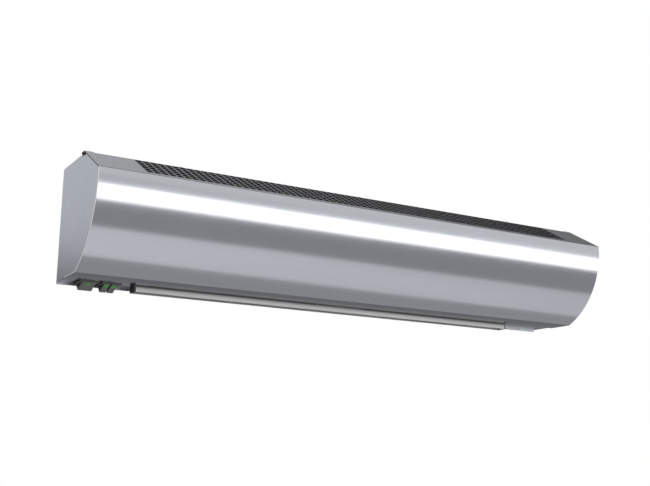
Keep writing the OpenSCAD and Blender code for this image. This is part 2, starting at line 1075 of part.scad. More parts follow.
module axle_bush() {
    color("goldenrod")
        at_mount()
            difference() {
                fan_bar(bearing_x - bush_gap - bush_l, bush_l, bush_r);
                fan_bar(bearing_x - bush_gap - bush_l - over, bush_l + 2 * over, shaft_r + shaft_play);
            }
}

module bearing_rubber() {
    color("black")
        at_mount()
            difference() {
                fan_bar(bearing_x - cup_l, cup_l - cup_t, rubber_r);
                fan_bar(bearing_x - cup_l - over, cup_l + 2 * over, bush_r);
            }
}

module bearing_bracket() {
    hole_r = screw_r + screw_play;
    color("silver")
        at_mount()
            difference() {
                union() {
                    fan_bar(bearing_x - cup_l, cup_l, rubber_r + cup_t);
                    translate([bearing_x - cup_t, -fan_depth, fan_h])
                        translate([0, -bearing_flange.x / 2, -bearing_flange.y / 2])
                            cube([cup_t, bearing_flange.x, bearing_flange.y]);
                }
                fan_bar(bearing_x - cup_l - over, cup_l + over - cup_t, rubber_r);
                fan_bar(bearing_x - cup_l, cup_l + over, shaft_r + shaft_hole_play);
                translate([-outlet_half, 0, 0])
                    mirror([1, 0, 0])
                        bearing_screw_places()
                            cylinder(h = 2 * (over + cup_t + end_sheet), r = hole_r, center = true);
            }
}

// Screw places in the bearing bracket, counted from the side plate's inner face
module bearing_screw_places() {
    for (sy = [-1, 1])
        for (sz = [-1, 1])
            translate([
                end_sheet + cup_t,
                -fan_depth + sy * bearing_hole_shares[0] * bearing_flange.x,
                fan_h + sz * bearing_hole_shares[1] * bearing_flange.y])
                rotate([0, 90, 0])
                    children();
}

// One heater rod: a core with fins between plain ends, and a contact pin at each end
module heater_rod(z) {
    plain = outlet_half + end_sheet + rod_out;
    finned = outlet_half - fin_end;
    fin_count = floor(2 * finned / fin_pitch);
    first = -fin_count * fin_pitch / 2;
    translate([0, rod_y(), z])
        rotate([0, 90, 0])
            rotate_extrude()
                polygon(concat(
                    [[0, -plain - pin_out], [pin_r, -plain - pin_out], [pin_r, -plain], [rod_r, -plain]],
                    [for (i = [0 : fin_count - 1])
                        for (point = [[rod_r, 0], [fin_r, 0], [fin_r, fin_t], [rod_r, fin_t]])
                            [point.x, first + i * fin_pitch + point.y]],
                    [[rod_r, plain], [pin_r, plain], [pin_r, plain + pin_out], [0, plain + pin_out]]));
}

module heater_rod_lower() {
    color("dimgray")
        at_mount()
            heater_rod(rod_h);
}

module heater_rod_upper() {
    color("dimgray")
        at_mount()
            heater_rod(rod_h + rod_step);
}

module heater_insulators() {
    color("ivory")
        at_mount()
            for (side = [0, 1])
                for (step = [0, 1])
                    mirror([side, 0, 0])
                        heater_insulator(rod_h + step * rod_step);
}

// One ceramic bush through the side plate, with a flange outside it
module heater_insulator(z) {
    difference() {
        union() {
            bar_x(outlet_half, end_sheet, rod_r + bush_wall, rod_y(), z);
            bar_x(outlet_half + end_sheet, bush_flange, rod_r + bush_wall + sheet, rod_y(), z);
        }
        bar_x(outlet_half - over, end_sheet + bush_flange + 2 * over, rod_r + rod_play, rod_y(), z);
    }
}

// Place of the thermal cut-out above the upper heater rod
cutout_z = rod_h + rod_step + cutout_rise;

module thermal_cutout() {
    hole_r = cutout_screw_r + screw_play;
    color("saddlebrown")
        at_mount()
            translate([bearing_x, rod_y(), cutout_z]) {
                difference() {
                    translate([-sheet, -cutout_plate.y / 2, -cutout_plate.x / 2])
                        cube([sheet, cutout_plate.y, cutout_plate.x]);
                    for (side = [-1, 1])
                        translate([0, 0, side * cutout_plate.x * cutout_hole_share])
                            rotate([0, 90, 0])
                                cylinder(h = 2 * (sheet + over), r = hole_r, center = true);
                }
                translate([-cutout_h, 0, 0])
                    rotate([0, 90, 0])
                        cylinder(h = cutout_h - sheet / 2, r = cutout_r);
                for (side = [-1, 1])
                    translate([-cutout_h - blade_tab.z, -blade_tab.x / 2, side * cutout_r / 2])
                        cube([blade_tab.z + over, blade_tab.x, blade_tab.y]);
            }
}

// Screw places of the thermal cut-out in the left side plate
module cutout_screw_places() {
    for (side = [-1, 1])
        translate([end_sheet + sheet, rod_y(), cutout_z + side * cutout_plate.x * cutout_hole_share])
            rotate([0, 90, 0])
                children();
}

// Left end of the terminal block, and the middle of its pole number i
block_x = block_inset - half_len;
function pole_x(i) = block_x + block_len * (i + half_share) / block_poles;

module terminal_block() {
    color("whitesmoke")
        at_mount()
            difference() {
                translate([block_x, back_face_y - block_d, block_z])
                    cube([block_len, block_d, block_h]);
                for (i = [0 : block_poles - 1]) {
                    translate([pole_x(i), back_face_y - block_d * half_share, block_z + block_h * half_share])
                        cylinder(h = block_h + 2 * over, r = pole_r, center = true);
                    translate([pole_x(i), back_face_y - block_d * half_share, block_z + block_h * half_share])
                        rotate([90, 0, 0])
                            cylinder(h = block_d, r = block_screw_r + screw_play);
                }
                block_places()
                    cylinder(h = 3 * block_d, r = screw_r + screw_play, center = true);
            }
}

// Places of the two screws that hold the terminal block, between its poles
module block_places() {
    for (i = [1, block_poles - 1])
        translate([block_x + block_len * i / block_poles, back_face_y, block_z + block_h * half_share])
            rotate([90, 0, 0])
                children();
}

module terminal_clamps() {
    color("goldenrod")
        at_mount()
            for (i = [0 : block_poles - 1])
                translate([pole_x(i), back_face_y - block_d * half_share, block_z + block_h * half_share])
                    difference() {
                        cylinder(h = clamp_l, r = pole_r, center = true);
                        cylinder(h = clamp_l + 2 * over, r = pole_r - clamp_wall, center = true);
                        rotate([90, 0, 0])
                            cylinder(h = pole_r + over, r = block_screw_r);
                    }
}

module terminal_screws() {
    color("silver")
        at_mount() {
            for (i = [0 : block_poles - 1])
                translate([pole_x(i), back_face_y - block_d * half_share, block_z + block_h * half_share])
                    rotate([90, 0, 0])
                        translate([0, 0, lead_r])
                            cylinder(h = block_screw_l, r = block_screw_r);
            block_places()
                translate([0, 0, block_d])
                    screw(block_d + sheet - fit);
        }
}

module cable_grommet() {
    depth = sheet + 2 * grommet_lip_t;
    color("black")
        at_mount()
            translate([grommet_x - half_len, back_y + wall_sheet - fit, grommet_z])
                rotate([90, 0, 0])
                    difference() {
                        union() {
                            cylinder(h = wall_sheet - fit, r = grommet_r + grommet_wall + grommet_lip);
                            cylinder(h = depth, r = grommet_r + grommet_wall);
                            translate([0, 0, wall_sheet - fit + sheet])
                                cylinder(h = grommet_lip_t, r = grommet_r + grommet_wall + grommet_lip);
                        }
                        translate([0, 0, -over])
                            cylinder(h = depth + 2 * over, r = grommet_r);
                    }
}

// Place of the clip's screw, its axis pointing away from the back panel
module clip_place() {
    translate([capacitor_x + clip_screw_x, back_face_y, capacitor_z + capacitor_l * half_share])
        rotate([90, 0, 0])
            children();
}

capacitor_y = back_face_y - capacitor_clip_t - capacitor_r;

module motor_capacitor() {
    color("whitesmoke")
        at_mount()
            translate([capacitor_x, capacitor_y, capacitor_z]) {
                cylinder(h = capacitor_l, r = capacitor_r);
                for (side = [-1, 1])
                    translate([side * capacitor_pin_x, 0, capacitor_l])
                        centred_box([blade_tab.y, blade_tab.x, blade_tab.z], -fit);
            }
}

module capacitor_clip() {
    clip_z = capacitor_z + (capacitor_l - capacitor_clip_l) / 2;
    color("silver")
        at_mount()
            difference() {
                union() {
                    translate([capacitor_x, capacitor_y, clip_z]) {
                        cylinder(h = capacitor_clip_l, r = capacitor_r + capacitor_clip_t);
                        translate([0, capacitor_r, 0])
                            cube([capacitor_clip_foot, capacitor_clip_t, capacitor_clip_l]);
                    }
                }
                translate([capacitor_x, capacitor_y, capacitor_z])
                    cylinder(h = capacitor_l, r = capacitor_r);
                clip_place()
                    cylinder(h = 2 * (sheet + over), r = screw_r + screw_play, center = true);
            }
}

module cord_clamp() {
    color("whitesmoke")
        at_mount()
            difference() {
                translate([grommet_x - half_len, back_face_y - clamp_size.y / 2, clamp_z - clamp_size.z])
                    centred_box(clamp_size, 0);
                translate([grommet_x - half_len, back_face_y, clamp_z - clamp_size.z - over])
                    cylinder(h = clamp_size.z + 2 * over, r = clamp_notch_r);
                clamp_places()
                    cylinder(h = 2 * (clamp_size.y + over), r = screw_r + screw_play, center = true);
            }
}

// Places of the two screws that hold the cord clamp
module clamp_places() {
    for (side = [-1, 1])
        translate([
            grommet_x - half_len + side * clamp_hole_share * clamp_size.x,
            back_face_y,
            clamp_z - clamp_size.z / 2])
            rotate([90, 0, 0])
                children();
}

// Place of the earth screw on the back panel
module earth_place() {
    translate([earth_x - half_len, back_face_y, earth_z])
        rotate([90, 0, 0])
            children();
}

module earth_screw() {
    color("goldenrod")
        at_mount()
            earth_place()
                union() {
                    translate([0, 0, sheet])
                        screw(2 * sheet - fit);
                    difference() {
                        cylinder(h = sheet, r = earth_washer_r);
                        translate([0, 0, -over])
                            cylinder(h = sheet + 2 * over, r = screw_r * half_share);
                    }
                }
}

// The opening through which the motor's leads pass a side plate
module lead_opening() {
    translate([-over, pole_y - lead_opening_size.x / 2, lead_z - lead_opening_size.y / 2])
        cube([end_sheet + 2 * over, lead_opening_size.x, lead_opening_size.y]);
}

// The numbers of a list's entries, without the given count at its start and at its end
function entries(list, skip, drop) = [for (i = [skip : len(list) - 1 - drop]) i];

// A lead along a path of points: straight runs with round corners
module lead(path) {
    for (i = entries(path, 0, 1))
        translate(path[i])
            lead_run(path[i + 1] - path[i]);
    for (i = entries(path, 1, 1))
        translate(path[i])
            sphere(r = lead_r);
}

// One straight run of a lead from the origin to a point
module lead_run(run) {
    rotate([0, atan2(norm([run.x, run.y]), run.z), atan2(run.y, run.x)])
        cylinder(h = norm(run), r = lead_r);
}

// Depth and height at which the leads meet the screws of the terminal block
pole_y = back_face_y - block_d * half_share;
pole_z = block_z + block_h * half_share;

// All leads between the terminal block, switches, motor, heater and cut-out
module leads() {
    color("firebrick")
        at_mount() {
            switch_leads();
            motor_leads();
            heater_leads();
        }
}

// Leads from the terminal block down to the two switches
module switch_leads() {
    tab_z = bottom_z + switch_body_h + blade_tab.z - fit;
    side = pocket_w / 4;
    ends = [power_x - side, power_x + side, heat_x - side, heat_x + side];
    for (i = entries(ends, 0, 0))
        lead([
            [pole_x(i), pole_y, pole_z - fit],
            [pole_x(i), pole_y, lead_low],
            [pole_x(i), switch_y, lead_low],
            [ends[i], switch_y, lead_low],
            [ends[i], switch_y, tab_z]]);
}

// Leads along the back panel from the terminal block to the motor
module motor_leads() {
    x = motor_x + motor_len - bell_len * half_share;
    for (i = [0, 1])
        let (
            start = pole_x(block_poles - 1 - i),
            z = lead_z + (i - half_share) * lead_step,
            y = -fan_depth + sqrt(pow(motor_r, 2) - pow(z - fan_h, 2)))
            lead([
                [start, pole_y, pole_z + fit],
                [start, pole_y, z],
                [x, pole_y, z],
                [x, y, z]]);
}

// Leads between the heater pins, the thermal cut-out and the terminal block
module heater_leads() {
    pin_x = -outlet_half - end_sheet - rod_out - pin_out;
    tab_x = bearing_x - cutout_h - blade_tab.z;
    bend_x = pin_x - lead_gap;
    last = pole_x(block_poles - 1);
    middle = pole_x((block_poles - 1) / 2);
    y = rod_y();
    tab_low = cutout_z - (cutout_r - blade_tab.y) / 2;
    tab_high = cutout_z + (cutout_r + blade_tab.y) / 2;
    lead([
        [pin_x, y, rod_h],
        [last, y, rod_h],
        [last, pole_y, rod_h],
        [last, pole_y, pole_z - fit]]);
    lead([
        [pin_x, y, rod_h + rod_step],
        [bend_x, y, rod_h + rod_step],
        [bend_x, y, tab_low],
        [tab_x, y, tab_low]]);
    lead([
        [tab_x, y, tab_high],
        [bend_x, y, tab_high],
        [bend_x, y, lead_top],
        [middle, y, lead_top],
        [middle, pole_y, lead_top],
        [middle, pole_y, pole_z + fit]]);
}

// One switch: bezel below the bottom panel and housing above it, with its pocket and pivot hole
module switch_housing() {
    pocket_h = switch_body_h - pocket_roof;
    difference() {
        union() {
            centred_box([bezel_w, bezel_l, bezel_t], bezel_face_z);
            centred_box(switch_box() + [0, 0, switch_body_h], bottom_z - fit);
        }
        centred_box([pocket_w, pocket_l, pocket_h + bezel_t], bezel_face_z - over);
        bar_x(-bezel_w, 2 * bezel_w, pivot_r, 0, pivot_z);
    }
}

module switch_housing_power() {
    color("black")
        at_mount()
            translate([power_x, switch_y, 0])
                switch_housing();
}

module switch_housing_heat() {
    color("black")
        at_mount()
            translate([heat_x, switch_y, 0])
                switch_housing();
}

// The pivot pins across both switch housings
module switch_pins() {
    pin_len = pocket_w + 2 * switch_wall;
    color("silver")
        at_mount()
            for (x = [power_x, heat_x])
                bar_x(x - pin_len / 2, pin_len, pivot_r, switch_y, pivot_z);
}

// The blade terminals on top of both switches
module switch_tabs() {
    color("goldenrod")
        at_mount()
            for (x = [power_x, heat_x])
                for (column = [-1, 1])
                    for (row = [0 : tab_rows - 1])
                        translate([
                            x + column * pocket_w / 4,
                            switch_y + (row - (tab_rows - 1) / 2) * pocket_l / (tab_rows + half_share),
                            bottom_z + switch_body_h - fit])
                            centred_box([blade_tab.x * tab_share, blade_tab.y, blade_tab.z], 0);
}

// Turns a piece drawn round a rocker's pivot, face down, to the stored tilt: pressed in at the front
module at_pivot(x) {
    translate([x, switch_y, pivot_z])
        rotate([-rocker_tilt, 0, 0])
            children();
}

// One rocker, drawn level round its pivot with its dished face downwards
module rocker(width) {
    dish = rocker_half * tan(rocker_dish);
    difference() {
        translate([-width / 2, 0, 0])
            from_x(width)
                intersection() {
                    circle(r = rocker_r, $fn = 96);
                    polygon([
                        [-rocker_r, rocker_back],
                        [-rocker_r, -rocker_edge],
                        [-rocker_half, -rocker_edge],
                        [0, dish - rocker_edge],
                        [rocker_half, -rocker_edge],
                        [rocker_r, -rocker_edge],
                        [rocker_r, rocker_back]]);
                }
        bar_x(-width, 2 * width, pivot_r + pivot_play, 0, 0);
        lens_place()
            linear_extrude(height = lens_t + over)
                lens_outline();
    }
}

// Place of a rocker's lens, its axis pointing out of the face
module lens_place() {
    u = lens_share * rocker_half;
    face = rocker_edge - (rocker_half + u) * tan(rocker_dish);
    translate([0, u, -face])
        rotate([180 + rocker_dish, 0, 0])
            translate([0, 0, -lens_t])
                children();
}

module rocker_power() {
    color("dimgray")
        at_mount()
            at_pivot(power_x)
                rocker(wide_rocker);
}

module rocker_heat_low() {
    color("dimgray")
        at_mount()
            at_pivot(heat_x - slim_offset)
                rocker(slim_rocker);
}

module rocker_heat_high() {
    color("dimgray")
        at_mount()
            at_pivot(heat_x + slim_offset)
                rocker(slim_rocker);
}

// One green lens set into a rocker's face
module lens(x) {
    color("limegreen")
        at_mount()
            at_pivot(x)
                lens_place()
                    linear_extrude(height = lens_t)
                        lens_outline();
}

// Round outline of a lens, cut straight at its front and back
module lens_outline() {
    intersection() {
        circle(d = lens_d);
        square([lens_d, lens_d * lens_height_share], center = true);
    }
}

module lens_power() {
    lens(power_x);
}

module lens_heat_low() {
    lens(heat_x - slim_offset);
}

module lens_heat_high() {
    lens(heat_x + slim_offset);
}

module panel_screws() {
    color("silver")
        at_mount()
            panel_screw_places()
                screw(end_sheet + sheet - fit);
}

module top_screws() {
    color("silver")
        at_mount()
            top_screw_places()
                screw(3 * sheet);
}

module motor_screws() {
    color("silver")
        at_mount()
            translate([outlet_half, 0, 0])
                motor_screw_places()
                    screw(2 * end_sheet);
}

// Screws of the bearing, the cut-out, the capacitor clip and the cord clamp
module fixing_screws() {
    color("silver")
        at_mount() {
            translate([-outlet_half, 0, 0])
                mirror([1, 0, 0]) {
                    bearing_screw_places()
                        screw(end_sheet + cup_t);
                    cutout_screw_places()
                        screw(end_sheet + sheet, cutout_screw_r);
                }
            clip_place()
                translate([0, 0, capacitor_clip_t])
                    screw(capacitor_clip_t + sheet - fit);
            clamp_places()
                translate([0, 0, clamp_size.y])
                    screw(clamp_size.y + sheet - fit);
        }
}

wall_plate();
back_panel();
top_panel();
bottom_panel();
end_plate_left();
end_plate_right();
front_cover();
intake_grille();
outlet_front_bar();
outlet_rear_bar();
outlet_cap_left();
outlet_cap_right();
rear_guide();
vortex_tongue();
side_plate_left();
side_plate_right();
impeller();
idle_hub();
axle_stub();
drive_hub();
motor_shaft();
motor_rotor();
motor_stator();
motor_windings();
motor_bell_inner();
motor_bell_outer();
motor_rubber();
motor_bracket();
axle_bush();
bearing_rubber();
bearing_bracket();
heater_rod_lower();
heater_rod_upper();
heater_insulators();
thermal_cutout();
terminal_block();
terminal_clamps();
cable_grommet();
switch_housing_power();
switch_housing_heat();
switch_pins();
switch_tabs();
rocker_power();
rocker_heat_low();
rocker_heat_high();
lens_power();
lens_heat_low();
lens_heat_high();
motor_capacitor();
capacitor_clip();
cord_clamp();
earth_screw();
leads();
panel_screws();
top_screws();
motor_screws();
terminal_screws();
fixing_screws();
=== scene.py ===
"""Looks of the wall-mounted air curtain: materials, detailed pieces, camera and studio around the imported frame."""

import json
import math

import bmesh
import bpy
from mathutils import Matrix, Vector


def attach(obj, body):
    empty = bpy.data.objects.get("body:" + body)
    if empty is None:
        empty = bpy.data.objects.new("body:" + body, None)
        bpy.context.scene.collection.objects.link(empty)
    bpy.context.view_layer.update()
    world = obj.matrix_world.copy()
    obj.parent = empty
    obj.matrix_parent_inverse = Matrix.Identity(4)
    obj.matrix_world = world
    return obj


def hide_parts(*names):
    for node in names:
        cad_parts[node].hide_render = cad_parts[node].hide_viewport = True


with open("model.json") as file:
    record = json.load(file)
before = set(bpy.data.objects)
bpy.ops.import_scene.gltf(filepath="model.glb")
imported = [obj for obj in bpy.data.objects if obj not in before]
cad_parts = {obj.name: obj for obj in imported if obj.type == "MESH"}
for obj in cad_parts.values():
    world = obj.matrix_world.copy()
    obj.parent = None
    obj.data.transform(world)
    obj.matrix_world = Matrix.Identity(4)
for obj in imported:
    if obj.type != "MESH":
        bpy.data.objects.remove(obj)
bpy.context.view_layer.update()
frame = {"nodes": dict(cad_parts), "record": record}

MM = 0.001

# Body sizes in metres, as in the part's source; heights counted from the wall fixing
HALF_LEN = 0.4025
UNDER_Z = -0.075
SHEET = 0.0012
FRONT_R = 0.1208
FRONT_Y = -0.0332
FRONT_Z = 0.0355
SHOULDER_Z = 0.0407
FLAP_Y = -0.041
TAB_HALF = 0.037
TAB_Y = -0.0366
SLOPE_NORMAL = (0.0, -0.4923, 0.8704)

# Mesh detail: steps round the cover's curve, and degrees between faces
COVER_STEPS = 120
SMOOTH_ANGLE = 30.0
BEVEL_ANGLE = 35.0
COVER_BEVEL_MM = 0.5
COVER_BEVEL_SEGMENTS = 3

# Widths in mm of the rounding on the sharp edges of solids
EDGE_WIDTHS_MM = {
    "end_plate_left": 0.3,
    "end_plate_right": 0.3,
    "wall_plate": 0.3,
    "top_panel": 0.25,
    "outlet_front_bar": 0.6,
    "outlet_rear_bar": 0.6,
    "outlet_cap_left": 0.5,
    "outlet_cap_right": 0.5,
    "switch_housing_power": 0.5,
    "switch_housing_heat": 0.5,
    "rocker_power": 0.35,
    "rocker_heat_low": 0.35,
    "rocker_heat_high": 0.35,
    "terminal_block": 0.5,
    "cord_clamp": 0.5,
}

# Camera: azimuth, elevation and roll in degrees, place in metres, focal length in widths of the picture
CAMERA_ANGLES = (30.493, 12.519, 0.648)
CAMERA_PLACE = (-0.7575, -1.2806, -0.3045)
CAMERA_FOCAL = 1022.4 / 650.0
SENSOR_MM = 36.0
CAMERA_REACH = 50.0

# Studio: sizes in metres, strengths of light, and how much bluer than grey the cards are
SKY_STRENGTH = 0.6
FLOOR_HALF = 60.0
FLOOR_Z = -1.75
FLOOR_LIFT = 0.32
CARD_BLUE = 1.03

# The middle of a noise's range, and the pointiness of an edge at which its rubbing sets in and is full
NOISE_RANGE = (0.3, 0.7)
NOISE_ROUGHNESS = 0.55
STREAK_DETAIL = 2.0
EDGE_RANGE = (0.52, 0.62)
RUBBED_SHADE = 1.5

WHITE = (1.0, 1.0, 1.0, 1.0)


def add_object(name, data):
    obj = bpy.data.objects.new(name, data)
    bpy.context.scene.collection.objects.link(obj)
    return obj


# ---------------------------------------------------------------- materials


def node(tree, kind, **values):
    n = tree.nodes.new(kind)
    for key, value in values.items():
        setattr(n, key, value)
    return n


def place_on_part(tree):
    """X, Y and Z of a point in the object's own coordinates, in metres."""
    place = node(tree, "ShaderNodeSeparateXYZ")
    tree.links.new(node(tree, "ShaderNodeTexCoord").outputs["Object"], place.inputs[0])
    return place.outputs


def map_range(tree, source, from_range, to_range=(0.0, 1.0)):
    n = node(tree, "ShaderNodeMapRange")
    n.inputs["From Min"].default_value, n.inputs["From Max"].default_value = from_range
    n.inputs["To Min"].default_value, n.inputs["To Max"].default_value = to_range
    tree.links.new(source, n.inputs["Value"])
    return n.outputs["Result"]


def noise(tree, scale, detail=4.0):
    """Noise in object coordinates, in metres, scaled along each axis."""
    mapping = node(tree, "ShaderNodeMapping")
    mapping.inputs["Scale"].default_value = scale
    tree.links.new(node(tree, "ShaderNodeTexCoord").outputs["Object"], mapping.inputs["Vector"])
    n = node(tree, "ShaderNodeTexNoise")
    n.inputs["Scale"].default_value = 1.0
    n.inputs["Detail"].default_value = detail
    n.inputs["Roughness"].default_value = NOISE_ROUGHNESS
    tree.links.new(mapping.outputs["Vector"], n.inputs["Vector"])
    return n.outputs["Fac"]


def mixed(tree, source, a, b):
    n = node(tree, "ShaderNodeMix", data_type="RGBA")
    n.inputs["A"].default_value = (*a, 1.0)
    n.inputs["B"].default_value = (*b, 1.0)
    tree.links.new(source, n.inputs["Factor"])
    return n.outputs["Result"]


def shade(colour, factor):
    return tuple(min(1.0, c * factor) for c in colour)


def even(value):
    return (value, value, value)


def surface(
    name,
    colour,
    metallic=0.0,
    roughness=(0.3, 0.4),
    grain=even(40.0),
    fine=even(400.0),
    variation=0.06,
    bump=0.1,
    bump_depth=0.0001,
    wear=0.0,
    **sockets,
):
    """A procedural material: colour that varies a little, uneven gloss, fine relief and rubbed edges."""
    mat = bpy.data.materials.new(name)
    mat.use_nodes = True
    tree = mat.node_tree
    shader = tree.nodes["Principled BSDF"]
    shader.inputs["Metallic"].default_value = metallic
    for key, value in sockets.items():
        shader.inputs[key.replace("_", " ")].default_value = value
    tint = mixed(
        tree,
        map_range(tree, noise(tree, grain), NOISE_RANGE),
        shade(colour, 1.0 - variation),
        shade(colour, 1.0 + variation),
    )
    if wear:
        edge = node(tree, "ShaderNodeNewGeometry").outputs["Pointiness"]
        rubbed = node(tree, "ShaderNodeMix", data_type="RGBA")
        tree.links.new(map_range(tree, edge, EDGE_RANGE, (0.0, wear)), rubbed.inputs["Factor"])
        tree.links.new(tint, rubbed.inputs["A"])
        rubbed.inputs["B"].default_value = (*shade(colour, RUBBED_SHADE), 1.0)
        tint = rubbed.outputs["Result"]
    tree.links.new(tint, shader.inputs["Base Color"])
    streak = noise(tree, fine, detail=STREAK_DETAIL)
    tree.links.new(map_range(tree, streak, NOISE_RANGE, roughness), shader.inputs["Roughness"])
    if bump:
        relief = node(tree, "ShaderNodeBump")
        relief.inputs["Strength"].default_value = bump
        relief.inputs["Distance"].default_value = bump_depth
        tree.links.new(streak, relief.inputs["Height"])
        tree.links.new(relief.outputs["Normal"], shader.inputs["Normal"])
    return mat


def blend_in(mat, source, start, end, colour, roughness=None):
    """Blends another colour, and roughness if given, into a material as a value goes from start to end."""
    tree = mat.node_tree
    shader = tree.nodes["Principled BSDF"]
    share = map_range(tree, source, (start, end))
    changes = [("Base Color", "RGBA", (*colour, 1.0))]
    if roughness is not None:
        changes.append(("Roughness", "FLOAT", roughness))
    for socket, kind, value in changes:
        target = shader.inputs[socket]
        before = target.links[0].from_socket
        mix = node(tree, "ShaderNodeMix", data_type=kind)
        a, b = (i for i in mix.inputs if i.enabled and i.name in ("A", "B"))
        b.default_value = value
        tree.links.new(share, mix.inputs[0])
        tree.links.new(before, a)
        tree.links.new(next(o for o in mix.outputs if o.enabled), target)


def beyond(mat, axis, start, end, colour, roughness=None):
    """Another colour past a place along one of the part's axes, X, Y or Z, in metres."""
    blend_in(mat, place_on_part(mat.node_tree)[axis], start, end, colour, roughness)


def facing(mat, axis, start, end, colour, roughness=None):
    """Another colour where the surface's own normal turns towards or away from an axis of the part."""
    tree = mat.node_tree
    dot = node(tree, "ShaderNodeVectorMath", operation="DOT_PRODUCT")
    dot.inputs[1].default_value = axis
    tree.links.new(node(tree, "ShaderNodeTexCoord").outputs["Normal"], dot.inputs[0])
    size = node(tree, "ShaderNodeMath", operation="ABSOLUTE")
    tree.links.new(dot.outputs["Value"], size.inputs[0])
    blend_in(mat, size.outputs[0], start, end, colour, roughness)


COVER_TINT = (0.45, 0.46, 0.49)
SHADOW_TINT = (0.012, 0.012, 0.013)
BRUSHED = dict(metallic=1.0, grain=(3.0, 60.0, 60.0), fine=(14.0, 1400.0, 1400.0))
SHEET_METAL = dict(metallic=1.0, grain=even(60.0), fine=even(300.0))

LOOKS = {
    "cover_steel": dict(BRUSHED, colour=COVER_TINT, roughness=(0.14, 0.19), variation=0.02, bump=0.03),
    "grille_steel": dict(BRUSHED, colour=(0.45, 0.46, 0.48), roughness=(0.20, 0.26), variation=0.02, bump=0.03),
    "end_steel": dict(BRUSHED, colour=(0.33, 0.355, 0.40), roughness=(0.30, 0.38), variation=0.02, bump=0.04),
    "galvanised": dict(SHEET_METAL, colour=(0.30, 0.31, 0.33), roughness=(0.32, 0.55), variation=0.16, bump=0.12),
    "top_steel": dict(BRUSHED, colour=(0.40, 0.41, 0.43), roughness=(0.12, 0.18), variation=0.03, bump=0.03),
    # Painted shade: a near-black steel for the parts inside the casing, standing in for the shade in there
    "inner_steel_painted_shade": dict(SHEET_METAL, colour=(0.06, 0.062, 0.065), roughness=(0.4, 0.6), variation=0.2),
    "outlet_aluminium": dict(
        colour=(0.30, 0.30, 0.302),
        metallic=1.0,
        roughness=(0.34, 0.38),
        grain=(3.0, 20.0, 20.0),
        fine=(6.0, 160.0, 160.0),
        variation=0.02,
        bump=0.01,
    ),
    "rear_bar_steel": dict(BRUSHED, colour=(0.42, 0.42, 0.42), roughness=(0.40, 0.50), variation=0.05, bump=0.02),
    "wall_steel": dict(SHEET_METAL, colour=(0.66, 0.68, 0.71), roughness=(0.30, 0.45), variation=0.12, bump=0.10),
    "base_steel": dict(BRUSHED, colour=(0.50, 0.51, 0.53), roughness=(0.18, 0.24), variation=0.02, bump=0.01),
    "fan_aluminium": dict(SHEET_METAL, colour=(0.36, 0.37, 0.38), roughness=(0.34, 0.46), bump=0.06),
    "motor_aluminium": dict(
        SHEET_METAL,
        colour=(0.45, 0.46, 0.47),
        roughness=(0.45, 0.6),
        variation=0.08,
        bump=0.3,
        bump_depth=0.0002,
    ),
    "motor_iron": dict(
        colour=(0.16, 0.17, 0.19),
        metallic=0.8,
        roughness=(0.4, 0.5),
        grain=even(20.0),
        fine=(2000.0, 20.0, 20.0),
        bump=0.6,
        bump_depth=0.0003,
    ),
    "copper": dict(
        colour=(0.55, 0.20, 0.08),
        metallic=0.9,
        roughness=(0.25, 0.35),
        grain=even(60.0),
        fine=even(900.0),
        bump=0.8,
        bump_depth=0.0004,
    ),
    "brass": dict(SHEET_METAL, colour=(0.66, 0.47, 0.20), roughness=(0.25, 0.38), variation=0.08, wear=0.3),
    "bronze": dict(SHEET_METAL, colour=(0.45, 0.27, 0.12), roughness=(0.4, 0.55), variation=0.1),
    "bright_steel": dict(SHEET_METAL, colour=(0.58, 0.58, 0.60), roughness=(0.14, 0.24), variation=0.04, wear=0.3),
    "heater_steel": dict(SHEET_METAL, colour=(0.16, 0.14, 0.13), roughness=(0.45, 0.6), variation=0.2),
    "ceramic": dict(colour=(0.80, 0.76, 0.68), roughness=(0.55, 0.7), bump=0.2),
    "brown_moulding": dict(colour=(0.10, 0.035, 0.015), roughness=(0.28, 0.4)),
    "white_plastic": dict(colour=(0.74, 0.74, 0.71), roughness=(0.4, 0.5), variation=0.02, bump=0.15),
    "bezel_plastic": dict(
        colour=(0.10, 0.10, 0.102),
        roughness=(0.65, 0.75),
        fine=even(1500.0),
        bump=0.2,
        wear=0.1,
        Specular_IOR_Level=0.25,
    ),
    "rocker_plastic": dict(
        colour=(0.115, 0.115, 0.118),
        roughness=(0.32, 0.42),
        fine=even(1500.0),
        bump=0.2,
        wear=0.2,
    ),
    "green_lens": dict(
        colour=(0.03, 0.34, 0.0),
        roughness=(0.45, 0.55),
        variation=0.1,
        bump=0.05,
        Specular_IOR_Level=0.05,
        Emission_Color=(0.02, 0.36, 0.0, 1.0),
        Emission_Strength=0.3,
    ),
    "rubber": dict(colour=(0.03, 0.03, 0.032), roughness=(0.6, 0.75), fine=even(900.0), bump=0.3),
    "lead_insulation": dict(colour=(0.45, 0.05, 0.03), roughness=(0.4, 0.5)),
}
MATERIALS = {name: surface(name, **look) for name, look in LOOKS.items()}

# Tones by place: material, axis, where the change starts and ends in metres, then the new colour and roughness
for look, *change in (
    # Painted shade: the cover's underside is darker towards the outlet, but not at the two ends
    ("cover_steel", "Y", -0.064, -0.052, shade(COVER_TINT, 0.5)),
    ("cover_steel", "X", -0.292, -0.320, COVER_TINT),
    ("cover_steel", "X", 0.292, 0.320, COVER_TINT),
    # Painted shade: the top panel is dark below its upper face
    ("top_steel", "Z", 0.0741, 0.0737, SHADOW_TINT, 0.6),
    # Painted shade: the outlet's front bar darkens upwards in two steps, standing in for the dark gap above it
    ("outlet_aluminium", "Z", -0.0800, -0.0765, (0.16, 0.16, 0.16)),
    ("outlet_aluminium", "Z", -0.0768, -0.0745, (0.07, 0.07, 0.07), 0.6),
    # The strip of the wall plate that shows under the casing
    ("wall_steel", "Z", -0.0736, -0.0740, (0.36, 0.375, 0.40), 0.4),
):
    beyond(MATERIALS[look], *change)

